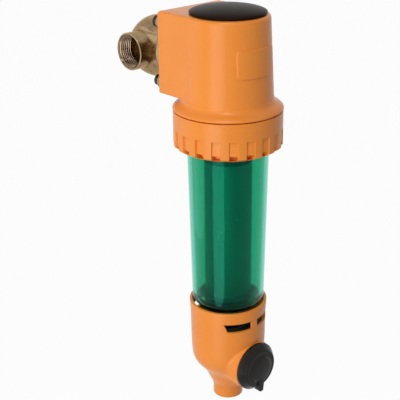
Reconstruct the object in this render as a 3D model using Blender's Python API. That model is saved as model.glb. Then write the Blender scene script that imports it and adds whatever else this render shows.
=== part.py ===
# Self-cleaning cyclone water filter with a clear bowl, a ring nut and a drain valve.
# Metres, +Z up. The origin is the middle of the pipe connection: the pipe runs along X,
# the wall is behind (+Y) and the filter hangs in front of it (-Y) on its own upright axis.
import math
import bpy
import bmesh
from mathutils import Vector

mm = 0.001

# Clearances
gap = 0.3 * mm              # between pieces that touch
runningGap = 0.6 * mm       # round pieces that turn or slide in one another

# Facets round a whole turn
wideFacets = 28             # pieces wider than 50 mm
middleFacets = 18
smallFacets = 12            # stem, gland, ball and screws

# Pipe connection, brass
pipeToFilter = 98.0 * mm    # pipe axis to the filter's upright axis
dome = 31.0 * mm            # radius of the ball-shaped middle
neck = 29.3 * mm            # radius of the neck towards the head
portReach = 40.0 * mm       # pipe axis centre to each port's end face
portOuter = 18.5 * mm
portWall = 2.2 * mm
threadDepth = 15.5 * mm
portShoulder = 2.6 * mm     # step between the thread and the water way
elbowBore = 10.5 * mm       # clean water way
outletWay = 9.9 * mm        # the same way through the outlet port
brassWall = 3.6 * mm        # between the outlet way and the inlet's
portEdge = 0.5 * mm
portFlare = 3.4 * mm        # fillet where a port leaves the ball
portFlareTall = 6.0 * mm
socketEnd = 15.0 * mm       # pipe axis to the crossover tube's socket
socketRim = 2.4 * mm        # wall between that socket and the ring way
entryTall = 14.0 * mm       # window from the inlet into the ring way
entryDeep = 15.0 * mm
entryInset = 0.8 * mm
flangeSealRound = 1.4 * mm
flangeSealOut = 3.4 * mm    # middle of the flange seal outside the water way
sealSquash = 0.1 * mm
flangeThick = 7.0 * mm
flangeRound = 36.6 * mm     # round middle of the flange plate
lugRound = 7.5 * mm
screwSquare = 57.4 * mm     # spacing of the four flange screws
screwShank = 3.0 * mm
screwHead = 5.5 * mm
screwHeadTall = 6.0 * mm
screwSocket = 2.9 * mm
screwSocketDeep = 3.2 * mm
screwEdge = 0.5 * mm
screwBite = 14.0 * mm       # thread length in the head
screwSpare = 2.0 * mm       # hole beyond the screw's end
flangeRise = 4.7 * mm       # the flange sits higher than the pipe axis

# Bore shared by the head and the bowl's mouth, and the walls round it
bore = 36.6 * mm
headWall = 3.1 * mm         # at the very top, more below because of the draft
headDraft = 0.05            # growth of the radius per metre of depth
bowlWall = 3.5 * mm
flangeLedge = 7.4 * mm      # bowl flange beyond the bowl's outside
nutWall = 4.2 * mm

# Head
headTop = 46.5 * mm
headFoot = -32.1 * mm
headReach = 54.6 * mm       # filter axis to the flat end face
cavityTop = 23.0 * mm
edgeRound = 3.2 * mm        # along the top
footRound = 0.8 * mm        # along the underside
endRound = 2.4 * mm
collarTop = -31.9 * mm
collarRound = 10.2 * mm     # height of the rounded shoulder
collarStep = 1.0 * mm       # ledge where the shoulder leaves the wall
seam = -43.1 * mm           # underside of the collar, where the ring nut starts
skirtDeep = 21.0 * mm       # threaded skirt below the collar
waterWay = 22.3 * mm        # side way for the raw water
plateWide = 46.0 * mm       # bare raised plate on the front
plateTall = 26.4 * mm
plateMiddle = 7.4 * mm
plateProud = 0.9 * mm
plateCorner = 4.0 * mm

# Top cap
capRound = 36.5 * mm
capRise = 7.4 * mm
capEdge = 1.9 * mm
capSpigot = 29.5 * mm
capSpigotDeep = 4.5 * mm
capWall = 3.0 * mm
capSeatSpare = 0.8 * mm
capRimEdge = 0.8 * mm

# Crossover tube and swirl guide
crossWall = 2.6 * mm
crossSealIn = 5.0 * mm      # seal's middle from the tube's pipe end
crossSealOut = 2.4 * mm     # and from its hub end
grooveDeep = 1.5 * mm
grooveWide = 2.8 * mm
sealPlay = 0.25 * mm
hubWall = 3.4 * mm
hubBore = 12.4 * mm
hubHead = 14.6 * mm         # radius inside the hub's wider top
hubEdge = 2.0 * mm
hubTaper = 5.0 * mm         # height of the cone between hub and standpipe
hubBelow = 4.0 * mm         # hub's wider part below the crossover hole
vaneCount = 8
vaneTop = -24.0 * mm
vaneFoot = -57.0 * mm
vaneTwist = 62.0            # degrees over the vane's height
vaneThick = 2.2 * mm
shroudTall = 7.0 * mm
shroudWall = 2.0 * mm
standpipeFoot = -90.0 * mm

# Cartridge
meshOuter = 23.6 * mm
meshThick = 0.6 * mm
meshTop = -95.0 * mm
meshFoot = -237.0 * mm
collarTall = 6.0 * mm
sleeveTall = 14.0 * mm      # cage sleeve round the standpipe
cageLedge = 1.0 * mm        # collar and foot beyond the mesh
cageTuck = 3.0 * mm         # cage wall inside the mesh's top
cageFootTall = 8.0 * mm
cageFootTuck = 2.6 * mm
hoopInset = 0.6 * mm
ribCount = 6
ribWide = 2.6 * mm
ribDeep = 3.0 * mm
hoopTall = 2.4 * mm
hoopCount = 2

# Ring nut
nutFoot = -83.7 * mm
nutChamfer = 5.4 * mm
nutEdge = 0.7 * mm
gripStart = -150.9          # degrees, first grip from the outlet side
gripTop = -61.4 * mm
gripCount = 20
gripDeep = 1.3 * mm
gripWide = 9.3              # degrees of the pitch that each recess takes
pocketDeep = 4.2 * mm
pocketTall = 4.6 * mm
pocketFoot = 1.0 * mm       # above the nut's foot

# Bowl
bowlFlangeTall = 7.2 * mm
bowlTaper = 3.7 * mm        # how much narrower the bowl is at its foot
bowlFoot = -253.0 * mm
bowlFootRound = 14.0 * mm
spigotOuter = 16.6 * mm
spigotBore = 8.5 * mm
spigotDeep = 11.5 * mm
slideRing = 1.5 * mm
slideRingPlay = 1.3 * mm    # round the bowl
bowlGrooveHalf = 1.9 * mm   # half the width of the seal's groove
bowlGrooveDeep = 2.4 * mm
bowlEdge = 0.6 * mm
bowlFillet = 1.0 * mm

# Drain valve
valveHeight = -312.3 * mm   # ball, stem and knob share this height
ballRound = 10.0 * mm
ballBore = 6.0 * mm
stemRound = 5.0 * mm
tangThick = 2.6 * mm
tangDeep = 3.0 * mm
ballPlay = 1.4 * mm         # round the ball
seatSpace = 3.2 * mm        # ball to the chamber's end
seatEdge = 0.8 * mm
valveWay = 0.5 * mm         # the ways are wider than the ball's bore
valveWall = 4.2 * mm
socketWall = 4.0 * mm
valveTop = 1.3 * mm         # bowl's foot to the valve body
socketTall = 3.5 * mm       # socket wall below the spigot's end
socketEdge = 0.8 * mm
valveBelow = 12.0 * mm      # valve body below the ball
nozzleTall = 15.0 * mm
nozzleWall = 2.5 * mm
nozzleRim = 1.2 * mm
nozzleLip = 2.7 * mm
nozzleCone = 1.5 * mm
glandWall = 3.0 * mm
glandRim = 11.5 * mm
glandRimThick = 2.2 * mm
glandStep = 1.2 * mm
stemSpare = 1.5 * mm        # stem end to the bottom of the knob's hole
stemEdge = 0.6 * mm
stemSealOut = 4.0 * mm      # seal's middle in front of the valve body
stemSealHalf = 1.4 * mm
stemGroove = 1.2 * mm
stemFlat = 3.5 * mm         # stem axis to each flat
flatStart = 1.5 * mm        # flats start in front of the boss

# Drain cup
cupWall = 2.7 * mm
cupRim = 39.7 * mm
cupTop = -246.8 * mm
outletRound = 15.6 * mm
outletFoot = -360.5 * mm
funnelTall = 34.7 * mm      # stem axis to the funnel's foot
slotTop = -259.6 * mm
slotTall = 8.0 * mm
slotStart = 7.2             # degrees from the front or the back
slotEnd = 48.5
slotSlant = 5.5
webTop = -275.5 * mm
webTall = 8.0 * mm
webHub = 3.0 * mm
webArm = 3.0 * mm
webEdge = 0.4 * mm          # arms are this much lower than the hub
bossRound = 25.8 * mm
bossBack = 10.8 * mm        # deep enough to meet the funnel all round
bossFace = 38.6 * mm        # front of the boss, from the filter's axis

# Knob
knobRound = 25.4 * mm
knobSkirt = 2.6 * mm
knobCone = 5.0 * mm
knobFront = 21.2 * mm
knobCrown = 4.4 * mm
tabReach = 26.2 * mm        # the pointer's foot, below the stem's axis
tabFoot = 4.6 * mm          # its width there
tabHead = 9.0 * mm          # and where it leaves the knob's front
tabRise = 3.8 * mm          # beyond the cone
knobEdge = 0.6 * mm
knobSocket = 10.5 * mm

# What follows from the sizes above
headRound = bore + headWall
bowlOuter = bore + bowlWall
flangeOuter = bowlOuter + flangeLedge
nutBore = flangeOuter + runningGap * 2
nutOuter = nutBore + nutWall
skirtOuter = nutBore - gap
skirtFoot = seam - skirtDeep
bowlTop = skirtFoot - gap
endFace = -pipeToFilter + headReach
sockets = elbowBore + crossWall + gap
valveBore = ballRound + ballPlay
valveOuter = valveBore + valveWall
stemBore = stemRound + gap
glandOuter = stemBore + glandWall
cupHub = valveOuter + gap
socketOuter = spigotOuter + gap + socketWall
spigotFoot = bowlFoot - spigotDeep


def clearScene():
    for obj in list(bpy.data.objects):
        bpy.data.objects.remove(obj, do_unlink=True)


def makeMaterial(name, colour, roughness, metallic=0.0, clear=0.0):
    mat = bpy.data.materials.new(name)
    mat.use_nodes = True
    shader = mat.node_tree.nodes["Principled BSDF"]
    shader.inputs["Base Color"].default_value = (*colour, 1.0)
    shader.inputs["Roughness"].default_value = roughness
    shader.inputs["Metallic"].default_value = metallic
    shader.inputs["Transmission Weight"].default_value = clear
    mat.diffuse_color = (*colour, 1.0)
    return mat


def addObject(name, bm, mat, place=(0, 0, 0), turn=(0, 0, 0), sharp=35.0):
    bmesh.ops.recalc_face_normals(bm, faces=bm.faces)
    mesh = bpy.data.meshes.new(name)
    bm.to_mesh(mesh)
    bm.free()
    if mat is not None:
        mesh.materials.append(mat)
    mesh.shade_smooth()
    mesh.set_sharp_from_angle(angle=math.radians(sharp))
    obj = bpy.data.objects.new(name, mesh)
    obj.location = place
    obj.rotation_euler = [math.radians(a) for a in turn]
    bpy.context.scene.collection.objects.link(obj)
    return obj


def turned(name, profile, mat=None, steps=wideFacets, place=(0, 0, 0), turn=(0, 0, 0)):
    # A closed (radius, height) profile spun about the object's own Z axis
    bm = bmesh.new()
    verts = [bm.verts.new((r, 0, z)) for r, z in profile]
    edges = []
    for a, b in zip(verts, verts[1:] + verts[:1]):
        if a.co.x > 1e-7 or b.co.x > 1e-7:
            edges.append(bm.edges.new((a, b)))
    bmesh.ops.spin(bm, geom=verts + edges, cent=(0, 0, 0), axis=(0, 0, 1),
                   angle=math.tau, steps=steps, use_merge=True)
    bmesh.ops.remove_doubles(bm, verts=bm.verts, dist=1e-6)
    return addObject(name, bm, mat, place, turn)


def tube(name, outer, inner, low, high, **more):
    return turned(name, [(inner, high), (outer, high), (outer, low), (inner, low)], **more)


def rod(name, radius, low, high, **more):
    return turned(name, [(0, high), (radius, high), (radius, low), (0, low)], **more)


def block(name, low, high, mat=None, place=(0, 0, 0), turn=(0, 0, 0), round_=0.0):
    bm = bmesh.new()
    bmesh.ops.create_cube(bm, size=1.0)
    low, high = Vector(low), Vector(high)
    for v in bm.verts:
        v.co = low + Vector([(c + 0.5) * s for c, s in zip(v.co, high - low)])
    if round_ > 0:
        bmesh.ops.bevel(bm, geom=bm.edges[:], offset=round_, segments=2, profile=0.5,
                        affect='EDGES', clamp_overlap=True)
    return addObject(name, bm, mat, place, turn)


def prism(name, outline, low, high, mat=None, place=(0, 0, 0), turn=(0, 0, 0)):
    # A flat outline extruded along the object's own Z axis
    bm = bmesh.new()
    face = bm.faces.new([bm.verts.new((x, y, low)) for x, y in outline])
    raised = bmesh.ops.extrude_face_region(bm, geom=[face])["geom"]
    bmesh.ops.translate(bm, vec=(0, 0, high - low),
                        verts=[g for g in raised if isinstance(g, bmesh.types.BMVert)])
    return addObject(name, bm, mat, place, turn)


def loft(name, rings, mat=None, place=(0, 0, 0)):
    # Rings of equally many points, one above the other, with flat ends
    bm = bmesh.new()
    rows = [[bm.verts.new(p) for p in ring] for ring in rings]
    for low, high in zip(rows, rows[1:]):
        for i in range(len(low)):
            j = (i + 1) % len(low)
            bm.faces.new((low[i], low[j], high[j], high[i]))
    bm.faces.new(rows[0])
    bm.faces.new(rows[-1])
    return addObject(name, bm, mat, place)


def combine(target, other, operation):
    other.hide_render = True
    other.display_type = 'WIRE'
    mod = target.modifiers.new(other.name, 'BOOLEAN')
    mod.object = other
    mod.operation = operation
    mod.solver = 'EXACT'


def cut(target, *cutters):
    for cutter in cutters:
        combine(target, cutter, 'DIFFERENCE')


def join(target, *others):
    for other in others:
        combine(target, other, 'UNION')


def arc(centre, radius, start, end, count):
    # Points of an arc in the profile plane, angles in degrees from the outward direction
    out = []
    for i in range(count + 1):
        a = math.radians(start + (end - start) * i / count)
        out.append((centre[0] + radius * math.cos(a), centre[1] + radius * math.sin(a)))
    return out


clearScene()
orange = makeMaterial("orange plastic", (0.85, 0.32, 0.07), 0.38)
black = makeMaterial("black plastic", (0.025, 0.023, 0.022), 0.3)
brass = makeMaterial("nickel brass", (0.42, 0.35, 0.26), 0.28, 1.0)
darkSteel = makeMaterial("dark steel", (0.09, 0.085, 0.08), 0.35, 1.0)
steelMesh = makeMaterial("steel mesh", (0.55, 0.56, 0.56), 0.35, 1.0)
greenClear = makeMaterial("green clear plastic", (0.05, 0.6, 0.42), 0.05, 0.0, 1.0)
rubber = makeMaterial("black rubber", (0.02, 0.02, 0.02), 0.7)
greyPlastic = makeMaterial("dark grey plastic", (0.05, 0.05, 0.05), 0.45)
white = makeMaterial("white seat plastic", (0.85, 0.85, 0.82), 0.4)
chrome = makeMaterial("polished metal", (0.75, 0.75, 0.73), 0.12, 1.0)

onFilter = (0, -pipeToFilter, 0)
alongX = (0, 90, 0)         # object's Z points along +X
alongFront = (90, 0, 0)     # object's Z points along -Y


# Pipe connection: a ball with two ports, a neck and a lugged flange plate
def flangeOutline(count=48):
    # Round plate with a lug at each screw: the farther of the two along each direction
    reach = screwSquare / math.sqrt(2)
    out = []
    for i in range(count):
        a = math.tau * i / count
        r = flangeRound
        for k in range(4):
            off = math.remainder(a - math.radians(45 + 90 * k), math.tau)
            side = reach * math.sin(off)
            if abs(side) < lugRound and abs(off) < 1:
                r = max(r, reach * math.cos(off) + math.sqrt(lugRound ** 2 - side ** 2))
        out.append((r * math.cos(a), r * math.sin(a)))
    return out


def connectionProfile():
    # Half outline of ball and ports, from the -X end to the +X end
    foot = portOuter + portFlare
    root = math.sqrt(dome ** 2 - foot ** 2)
    half = [(0, portReach), (portOuter - portEdge, portReach),
            (portOuter, portReach - portEdge), (portOuter, root + portFlareTall),
            (portOuter + 0.3 * portFlare, root + 0.43 * portFlareTall), (foot, root)]
    start = math.degrees(math.atan2(root, foot))
    ball = arc((0, 0), dome, start, -start, 6)[1:-1]
    return half + ball + [(r, -z) for r, z in reversed(half)]


connection = turned("connection_body", connectionProfile(), brass, 32, turn=alongX)
flangeBack = endFace + gap
join(connection,
     rod("neck shape", neck, brassWall, -flangeBack - flangeThick / 2, turn=alongFront),
     prism("flange shape", flangeOutline(), -flangeBack - flangeThick, -flangeBack,
           place=(0, 0, flangeRise), turn=alongFront))
screwPlaces = [(sx * screwSquare / 2, flangeRise + sz * screwSquare / 2)
               for sz in (1, -1) for sx in (-1, 1)]
for i, (x, z) in enumerate(screwPlaces):
    cut(connection, rod(f"flange hole {i}", screwShank + gap, -flangeBack - flangeThick - mm,
                        -flangeBack + mm, steps=smallFacets, place=(x, 0, z), turn=alongFront))
threadBore = portOuter - portWall
portWay = threadBore - portShoulder
wayEnd = elbowBore + brassWall
cut(connection,
    rod("inlet thread", threadBore, -portReach - mm, -portReach + threadDepth, steps=middleFacets,
        turn=alongX),
    rod("outlet thread", threadBore, portReach - threadDepth, portReach + mm, steps=middleFacets,
        turn=alongX),
    rod("inlet way", portWay, -portReach + threadDepth - mm, -wayEnd, steps=middleFacets, turn=alongX),
    rod("outlet way", outletWay, 0, portReach - threadDepth + mm, steps=middleFacets,
        turn=alongX),
    rod("elbow way", elbowBore, -elbowBore, -flangeBack + mm, steps=middleFacets, turn=alongFront),
    rod("tube socket", sockets, socketEnd, -flangeBack + mm, steps=middleFacets, turn=alongFront),
    tube("ring way", waterWay, sockets + socketRim, socketEnd + mm, -flangeBack + mm, steps=middleFacets,
         turn=alongFront),
    block("ring way entry", (-waterWay + entryInset, -socketEnd - entryDeep / 3, -entryTall / 2),
          (-sockets - socketRim + gap, -socketEnd + entryDeep * 2 / 3, entryTall / 2)))
# The ring seal sits in a groove in the flange face
sealMiddle = waterWay + flangeSealOut
grooveHalf = flangeSealRound + gap
cut(connection, tube("flange groove", sealMiddle + grooveHalf, sealMiddle - grooveHalf,
                     -flangeBack - 2 * flangeSealRound, -flangeBack + mm, steps=middleFacets,
                     turn=alongFront))


def ringSeal(name, middle, thick, height, steps=middleFacets, **more):
    return turned(name, arc((middle, height), thick, 0, 300, 5), rubber, steps, **more)


ringSeal("flange_seal", sealMiddle, flangeSealRound - sealSquash,
         -flangeBack - flangeSealRound + gap / 2, turn=alongFront)

for i, (x, z) in enumerate(screwPlaces):
    headBase = -flangeBack - flangeThick - gap
    bottom = -endFace + screwBite
    screw = turned(f"flange_screw_{i + 1}",
                   [(0, headBase - screwHeadTall), (screwHead - screwEdge, headBase - screwHeadTall),
                    (screwHead, headBase - screwHeadTall + screwEdge), (screwHead, headBase),
                    (screwShank, headBase), (screwShank, bottom), (0, bottom)],
                   darkSteel, smallFacets, (x, 0, z), alongFront)
    cut(screw, rod(f"screw socket {i + 1}", screwSocket, headBase - screwHeadTall - mm,
                   headBase - screwHeadTall + screwSocketDeep, steps=6, place=(x, 0, z),
                   turn=alongFront))


# Head: a drafted round front that runs into a square end towards the pipe
def headRadius(z):
    return headRound + headDraft * (headTop - z)


def headOutline(z, inset, count=20):
    # Front arc from side to side, then the flat end with its rounded corners
    r = headRadius(z) - inset
    wide = min(headRound, headRadius(z)) - inset
    past = math.acos(min(1.0, wide / r))
    out = []
    for i in range(count + 1):
        a = math.pi + (-past) + (math.pi + 2 * past) * i / count
        out.append((r * math.cos(a), r * math.sin(a), z))
    reach = headReach - inset
    corner = [(reach - endRound + endRound * math.sin(math.radians(t)),
               wide - endRound + endRound * math.cos(math.radians(t))) for t in (0, 30, 60, 90)]
    out += [(x, y, z) for y, x in corner]
    out += [(-x, y, z) for y, x in reversed(corner)]
    return out


def roundedLevels(low, high, lowRound, highRound, count=2):
    # Heights and insets of a prism whose lower and upper edges are rounded
    turns = [math.radians(90 * i / count) for i in range(count + 1)]
    lower = [(low + lowRound * (1 - math.sin(a)), lowRound * (1 - math.cos(a))) for a in turns]
    upper = [(high - highRound * (1 - math.sin(a)), highRound * (1 - math.cos(a))) for a in turns]
    return list(reversed(lower)) + upper


headLevels = roundedLevels(headFoot, headTop, footRound, edgeRound)
head = loft("head_housing", [headOutline(z, inset) for z, inset in headLevels], orange, onFilter)
shoulder = nutOuter + gap - headRadius(collarTop) - collarStep
collarArc = []
for i in range(5):
    a = math.radians(90 - 22.5 * i)
    collarArc.append((nutOuter + gap - shoulder * (1 - math.cos(a)),
                      collarTop - collarRound * (1 - math.sin(a))))
join(head, turned("collar and skirt",
                  [(0, collarTop + edgeRound), (headRadius(collarTop) - headWall / 2,
                                                collarTop + edgeRound),
                   (headRadius(collarTop) - headWall / 2, collarTop)] + collarArc +
                  [(nutOuter + gap, seam), (skirtOuter, seam), (skirtOuter, skirtFoot),
                   (0, skirtFoot)], place=onFilter))


def roundedRectangle(wide, tall, radius, count=4):
    out = []
    for k, (sx, sy) in enumerate(((1, 1), (-1, 1), (-1, -1), (1, -1))):
        for i in range(count + 1):
            a = math.radians(90 * k + 90 * i / count)
            out.append((sx * (wide / 2 - radius) + radius * math.cos(a),
                        sy * (tall / 2 - radius) + radius * math.sin(a)))
    return out


plateLow, plateHigh = plateMiddle - plateTall, plateMiddle + plateTall
plate = turned("plate shape",
               [(headRadius(plateHigh) - headWall / 2, plateHigh),
                (headRadius(plateHigh) + plateProud, plateHigh),
                (headRadius(plateLow) + plateProud, plateLow),
                (headRadius(plateLow) - headWall / 2, plateLow)], steps=2 * wideFacets, place=onFilter)
combine(plate, prism("plate outline", roundedRectangle(plateWide, plateTall, plateCorner),
                     headRound * 0.5, headRound * 1.5,
                     place=(0, -pipeToFilter, plateMiddle), turn=alongFront), 'INTERSECT')
join(head, plate)
capSeat = capSpigotDeep + capSeatSpare
cut(head,
    rod("head bore", bore, skirtFoot - mm, cavityTop, place=onFilter),
    rod("side water way", waterWay, -endFace - mm, pipeToFilter - bore * 0.6, steps=middleFacets,
        turn=alongFront),
    rod("cap seat", capSpigot + gap, headTop - capSeat, headTop + mm, place=onFilter))
for i, (x, z) in enumerate(screwPlaces):
    cut(head, rod(f"screw hole {i}", screwShank + gap, -endFace - mm,
                  -endFace + screwBite + screwSpare, steps=smallFacets, place=(x, 0, z),
                  turn=alongFront))

# Top cap: a low dome with a spigot that snaps into the head
capBase = headTop + gap
capDome = [(capRound * math.sin(math.radians(t)),
            capBase + capEdge + (capRise - capEdge) * (math.cos(math.radians(t)) ** 1.3))
           for t in (22, 44, 62, 78)]
turned("top_cap",
       [(0, capBase + capRise)] + capDome +
       [(capRound, capBase + capEdge), (capRound, capBase + capRimEdge),
        (capRound - capRimEdge, capBase), (capSpigot, capBase),
        (capSpigot, headTop - capSpigotDeep), (capSpigot - capWall, headTop - capSpigotDeep),
        (capSpigot - capWall, capBase + capEdge), (0, capBase + capEdge)],
       black, place=onFilter)

# Crossover tube carries the clean water back through the raw water
crossOuter = elbowBore + crossWall
crossStart, crossEnd = socketEnd + gap, pipeToFilter - hubHead + mm


def grooved(start, end, grooves):
    # Outer profile of a tube with a seal groove at each given middle
    out = [(crossOuter, start)]
    for middle in grooves:
        for r, side in ((0, -1), (1, -1), (1, 1), (0, 1)):
            out.append((crossOuter - r * grooveDeep, middle + side * grooveWide / 2))
    return out + [(crossOuter, end)]


crossSeals = (crossStart + crossSealIn, crossEnd - crossSealOut)
crossProfile = grooved(crossStart, crossEnd, crossSeals)
turned("crossover_tube", crossProfile + [(elbowBore, crossEnd), (elbowBore, crossStart)],
       greyPlastic, middleFacets, turn=alongFront)
for name, middle in zip(("crossover_seal_pipe", "crossover_seal_hub"), crossSeals):
    tube(name, crossOuter + gap / 6, crossOuter - grooveDeep + sealPlay,
         middle - grooveWide / 2 + sealPlay, middle + grooveWide / 2 - sealPlay,
         mat=rubber, steps=middleFacets, turn=alongFront)

# Swirl guide: hub with helical vanes that set the raw water spinning
hubTop = cavityTop - gap
hubOuter = hubHead + hubWall
pipeOuter = hubBore + hubWall
hubFoot = -sockets - hubBelow
pipeEdge = hubWall * 0.3
guide = turned("swirl_guide",
               [(0, hubTop), (hubOuter - hubEdge, hubTop), (hubOuter, hubTop - hubEdge),
                (hubOuter, hubFoot), (pipeOuter, hubFoot - hubTaper),
                (pipeOuter, standpipeFoot + pipeEdge), (pipeOuter - pipeEdge, standpipeFoot),
                (hubBore, standpipeFoot), (hubBore, hubFoot - hubTaper * 0.8),
                (hubHead, hubFoot + hubTaper * 0.2), (hubHead, hubTop - hubWall),
                (0, hubTop - hubWall)],
               greyPlastic, middleFacets, onFilter)
shroudOuter = bore - gap


def addVane(bm, start):
    # One vane: a wall that starts upright and leans over as it goes down
    rows = []
    inner, outer = pipeOuter - hubWall / 4, shroudOuter - shroudWall * 0.5
    for i in range(5):
        t = i / 4
        z = vaneTop + (vaneFoot - vaneTop) * t
        a = start + math.radians(vaneTwist) * t * t
        row = []
        for r, side in ((inner, -1), (outer, -1), (outer, 1), (inner, 1)):
            b = a + side * vaneThick / 2 / r
            row.append(bm.verts.new((r * math.cos(b), r * math.sin(b), z)))
        rows.append(row)
    for low, high in zip(rows, rows[1:]):
        for i in range(4):
            j = (i + 1) % 4
            bm.faces.new((low[i], low[j], high[j], high[i]))
    bm.faces.new(rows[0])
    bm.faces.new(rows[-1])


vanes = bmesh.new()
for k in range(vaneCount):
    addVane(vanes, math.tau * k / vaneCount)
bmesh.ops.triangulate(vanes, faces=vanes.faces)
vanes = addObject("vane shapes", vanes, None, onFilter)
shroud = tube("shroud shape", shroudOuter, shroudOuter - shroudWall,
              vaneFoot - shroudWall * 0.3, vaneFoot + shroudTall, place=onFilter)
join(guide, vanes, shroud)
cut(guide, rod("crossover hole", sockets, pipeToFilter - hubOuter - hubWall,
               pipeToFilter - hubHead * 0.3, steps=middleFacets, turn=alongFront))

# Cartridge: a cage of ribs and hoops under a fine steel mesh
cageOuter = meshOuter - meshThick - gap
cageInner = cageOuter - ribDeep
collarFoot = meshTop + gap
cageTop = collarFoot + collarTall
ledgeOuter = meshOuter + cageLedge
cage = turned("cartridge_cage",
              [(pipeOuter + gap, cageTop + sleeveTall),
               (pipeOuter + gap + hubWall, cageTop + sleeveTall),
               (pipeOuter + gap + hubWall, cageTop), (ledgeOuter, cageTop),
               (ledgeOuter, collarFoot), (cageOuter, collarFoot),
               (cageOuter, collarFoot - cageTuck), (cageInner, collarFoot - cageTuck),
               (cageInner, standpipeFoot - gap), (pipeOuter - pipeEdge, standpipeFoot - gap),
               (pipeOuter + gap, standpipeFoot + pipeEdge)],
              greyPlastic, middleFacets, onFilter)
cageFoot = turned("cage foot shape",
                  [(0, meshFoot + cageFootTuck), (cageOuter, meshFoot + cageFootTuck),
                   (cageOuter, meshFoot - gap), (ledgeOuter, meshFoot - gap),
                   (ledgeOuter, meshFoot - cageFootTall * 0.4),
                   (cageInner * 0.8, meshFoot - cageFootTall * 0.8),
                   (0, meshFoot - cageFootTall)], steps=middleFacets, place=onFilter)
hoops = bmesh.new()
for k in range(hoopCount):
    z = meshTop + (meshFoot - meshTop) * (k + 1) / (hoopCount + 1)
    verts = [hoops.verts.new((r, 0, z + side * hoopTall / 2)) for r, side in
             ((cageInner + hoopInset, 1), (cageOuter, 1), (cageOuter, -1),
              (cageInner + hoopInset, -1))]
    edges = [hoops.edges.new((a, b)) for a, b in zip(verts, verts[1:] + verts[:1])]
    bmesh.ops.spin(hoops, geom=verts + edges, cent=(0, 0, 0), axis=(0, 0, 1),
                   angle=math.tau, steps=middleFacets, use_merge=True)
bmesh.ops.remove_doubles(hoops, verts=hoops.verts, dist=1e-6)
hoops = addObject("hoop shapes", hoops, None, onFilter)
join(cage, cageFoot)
ribs = bmesh.new()
for k in range(ribCount):
    a = math.tau * (k + 0.5) / ribCount
    out, side = Vector((math.cos(a), math.sin(a), 0)), Vector((-math.sin(a), math.cos(a), 0))
    ring = [[ribs.verts.new(out * r + side * s * ribWide / 2 + Vector((0, 0, z)))
             for r, s in ((cageInner + hoopInset / 2, -1), (cageOuter - hoopInset / 4, -1),
                          (cageOuter - hoopInset / 4, 1), (cageInner + hoopInset / 2, 1))]
            for z in (meshFoot + cageFootTuck * 0.8, meshTop - cageTuck * 0.7)]
    for i in range(4):
        j = (i + 1) % 4
        ribs.faces.new((ring[0][i], ring[0][j], ring[1][j], ring[1][i]))
    ribs.faces.new(ring[0])
    ribs.faces.new(ring[1])
ribs = addObject("rib shapes", ribs, None, onFilter)
join(cage, ribs, hoops)
tube("filter_mesh", meshOuter, meshOuter - meshThick, meshFoot, meshTop, mat=steelMesh,
     steps=middleFacets, place=onFilter)


# Ring nut: plain above, eighteen shallow grip recesses and pockets below
def gripRadius(step):
    # Outer radius over one grip: a step inwards, then a ramp back to the full radius
    edges = ((-0.2, 0.0), (0.2, 1.0), (gripWide - 0.2, 0.4), (gripWide + 0.2, 0.0))
    return [(a, nutOuter - share * gripDeep * step) for a, share in edges]


def nutRing(z, radius, recess, flat=None):
    out = []
    for k in range(gripCount):
        for a, r in gripRadius(recess):
            a = math.radians(360 / gripCount * k + gripStart + a)
            r = min(r, radius) if flat is None else flat
            out.append((r * math.cos(a), r * math.sin(a), z))
    return out


lipTop = bowlTop - bowlFlangeTall - slideRing - 2 * gap
nutTop = seam - gap
nutHole = bowlOuter + runningGap
nutRings = [nutRing(lipTop, 0, 0, nutHole), nutRing(lipTop, 0, 0, nutBore),
            nutRing(nutTop, 0, 0, nutBore), nutRing(nutTop, nutOuter - nutEdge, 0),
            nutRing(nutTop - nutEdge, nutOuter, 0), nutRing(gripTop + nutEdge / 2, nutOuter, 0),
            nutRing(gripTop, nutOuter, 1), nutRing(nutFoot + nutChamfer, nutOuter, 1),
            nutRing(nutFoot + nutEdge, nutOuter - nutChamfer + nutEdge, 1),
            nutRing(nutFoot, nutOuter - nutChamfer - nutEdge / 2, 0),
            nutRing(nutFoot, 0, 0, nutHole)]
bm = bmesh.new()
rows = [[bm.verts.new(p) for p in ring] for ring in nutRings]
for low, high in zip(rows, rows[1:] + rows[:1]):
    for i in range(len(low)):
        j = (i + 1) % len(low)
        bm.faces.new((low[i], low[j], high[j], high[i]))
nut = addObject("union_nut", bm, orange, onFilter, sharp=25)
pockets = bmesh.new()
for k in range(gripCount):
    ends = [math.radians(360 / gripCount * k + gripStart + a) for a in (0.6, gripWide - 0.6)]
    rings = [[pockets.verts.new((r * math.cos(a), r * math.sin(a), z)) for r, a in
              [(nutOuter + mm, a) for a in ends] +
              [(nutOuter - nutChamfer * 0.4 - pocketDeep, a) for a in reversed(ends)]]
             for z in (nutFoot + pocketFoot, nutFoot + pocketFoot + pocketTall)]
    for i in range(4):
        j = (i + 1) % 4
        pockets.faces.new((rings[0][i], rings[0][j], rings[1][j], rings[1][i]))
    pockets.faces.new(rings[0])
    pockets.faces.new(rings[1])
cut(nut, addObject("nut pocket shapes", pockets, None, onFilter))

# Slide ring lets the nut turn under the bowl's flange
flangeFoot = bowlTop - bowlFlangeTall
tube("slide_ring", flangeOuter, bowlOuter + slideRingPlay, flangeFoot - gap - slideRing,
     flangeFoot - gap, mat=white, place=onFilter)

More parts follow.
